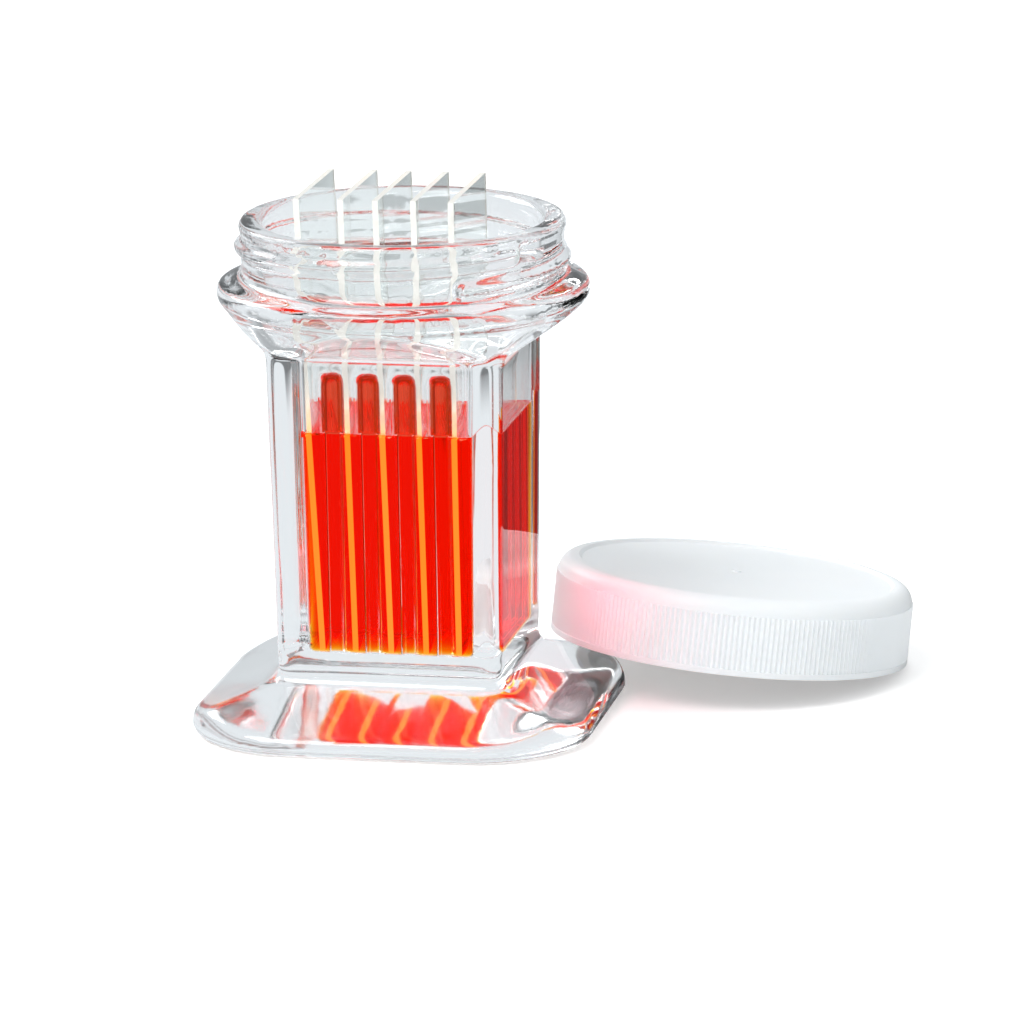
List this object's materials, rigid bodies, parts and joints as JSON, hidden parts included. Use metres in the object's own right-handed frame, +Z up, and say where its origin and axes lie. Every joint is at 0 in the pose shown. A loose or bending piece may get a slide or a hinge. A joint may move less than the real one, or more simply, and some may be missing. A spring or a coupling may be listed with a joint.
{
  "type": "slide staining jar",
  "caption": "Upright pressed-glass staining jar with a rectangular grooved trough, round threaded neck and wide foot, holding stain and glass slides, with its screw cap leaning beside it.",
  "frame": {"origin": "centre of the flat underside of the foot, on the axis of the round neck", "axes": "+Z up along the neck axis; +X to the right along the wide front face of the trough, across the slides; +Y from the front face to the back, along the width of the slides"},
  "size_m": [0.1137, 0.0996, 0.0897],
  "materials": {
    "jar": "polished, fire-smooth pressed glass",
    "stain": "clear deep orange-red liquid",
    "slides": "polished sheet glass with ground edges",
    "cap": "satin moulded polypropylene",
    "cap_liner": "soft satin foam disc"
  },
  "bodies": {
    "root": {"jar": "jar", "stain": "stain", "slide_1": "slides", "slide_2": "slides", "slide_3": "slides", "slide_4": "slides", "slide_5": "slides", "cap": "cap", "cap_liner": "cap_liner"}
  },
  "joints": []
}
